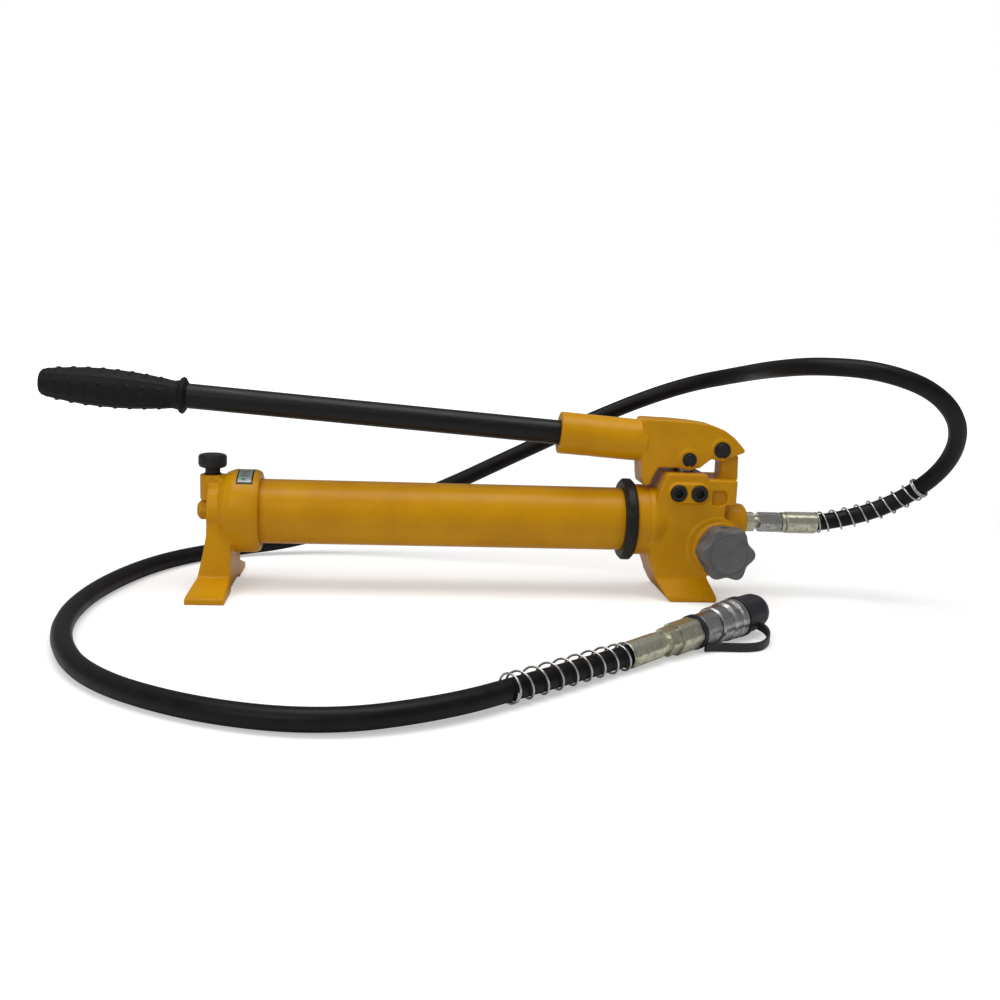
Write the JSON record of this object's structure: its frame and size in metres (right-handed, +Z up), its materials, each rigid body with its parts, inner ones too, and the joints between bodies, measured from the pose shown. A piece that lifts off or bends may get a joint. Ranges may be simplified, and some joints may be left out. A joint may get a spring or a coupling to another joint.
{
  "type": "hydraulic hand pump",
  "caption": "Lever-operated hydraulic hand pump: tubular oil reservoir between cast head and end cap, release knob, filler vent, and high-pressure hose with screw coupler.",
  "frame": {"origin": "on the floor, on the plunger's axis, at the middle of the front foot's base", "axes": "+X along the reservoir to the outlet port, +Y to the back, +Z up"},
  "size_m": [0.8839, 0.5487, 0.2471],
  "materials": {
    "yellow_paint": "glossy yellow enamel over rough castings",
    "black_paint": "semi-gloss black paint",
    "grip_rubber": "moulded black rubber with a dull sheen",
    "seal_rubber": "black nitrile rubber",
    "hose_rubber": "smooth black hose cover",
    "black_steel": "black-oxide steel",
    "bright_steel": "ground steel",
    "zinc_plate": "dull olive zinc plating",
    "chrome_plate": "satin plated steel",
    "brass": "turned brass",
    "knob_plastic": "mid-grey moulded plastic",
    "black_plastic": "black moulded plastic",
    "label_foil": "printed foil without lettering"
  },
  "bodies": {
    "root": {"reservoir_tube": "yellow_paint", "bumper_ring": "seal_rubber", "rear_cap": "yellow_paint", "label_plate": "label_foil", "tie_rod": "bright_steel", "tie_rod_washer": "yellow_paint", "tie_rod_nut": "yellow_paint", "rear_o_ring": "seal_rubber", "head_o_ring": "seal_rubber", "suction_tube": "brass", "suction_strainer": "brass", "pump_head": "yellow_paint", "pump_cylinder": "bright_steel", "gland_nut": "brass", "wiper_ring": "seal_rubber", "plunger_seal": "seal_rubber", "valve_plugs": "black_steel", "check_springs": "bright_steel", "check_balls": "bright_steel", "relief_screw": "black_steel", "release_gland": "bright_steel", "outlet_nipple": "zinc_plate", "fulcrum_pin": "black_steel", "fulcrum_circlips": "black_steel", "swivel_nut": "chrome_plate", "hose_stem": "zinc_plate", "ferrule_outlet": "zinc_plate", "spring_guard_outlet": "bright_steel", "hose": "hose_rubber", "spring_guard_coupler": "bright_steel", "ferrule_coupler": "zinc_plate", "coupler_adapter": "zinc_plate", "coupler_hex": "zinc_plate", "strap_band": "seal_rubber", "coupler_body": "chrome_plate", "dust_cap_strap": "seal_rubber"},
    "lever": {"lever_head": "yellow_paint", "handle_tube": "black_paint", "handle_grip": "grip_rubber", "handle_screw": "black_steel", "plunger_pin": "black_steel", "plunger_circlips": "black_steel"},
    "plunger": {"plunger": "bright_steel"},
    "release_valve": {"release_spindle": "bright_steel", "release_knob": "knob_plastic", "knob_pin": "black_steel"},
    "filler_vent": {"filler_plug": "black_plastic", "filler_knob": "black_plastic", "filler_seal": "seal_rubber"},
    "coupler_ring": {"coupler_collar": "chrome_plate"},
    "cap": {"dust_cap": "seal_rubber", "dust_cap_plug": "seal_rubber"}
  },
  "joints": [
    {"name": "lever_pivot", "type": "hinge", "parent": "root", "child": "lever", "pos_m": [0.026, 0, 0.1499], "axis": [0, 1, 0], "range_deg": [0, 40]},
    {"name": "plunger_stroke", "type": "slide", "parent": "root", "child": "plunger", "axis": [0, 0, 1], "range_m": [0, 0.0236]},
    {"name": "release_turn", "type": "hinge", "parent": "root", "child": "release_valve", "pos_m": [0.0272, -0.05, 0.0528], "axis": [0, -1, 0], "range_deg": [0, 360]},
    {"name": "filler_turn", "type": "hinge", "parent": "root", "child": "filler_vent", "pos_m": [-0.4714, 0, 0.1105], "axis": [0, 0, 1], "range_deg": [0, 360]},
    {"name": "coupler_ring_turn", "type": "hinge", "parent": "root", "child": "coupler_ring", "pos_m": [-0.0071, -0.16832, 0.01757], "axis": [0.7872, 0.615, 0.0454], "continuous": true},
    {"name": "dust_cap_pull", "type": "slide", "parent": "root", "child": "cap", "axis": [0.7872, 0.615, 0.0454], "range_m": [0, 0.018], "deforming": ["dust_cap_strap"]}
  ],
  "couplings": [
    {"joint": "plunger_stroke", "follows": "lever_pivot", "m_per_rad": 0.0334}
  ]
}
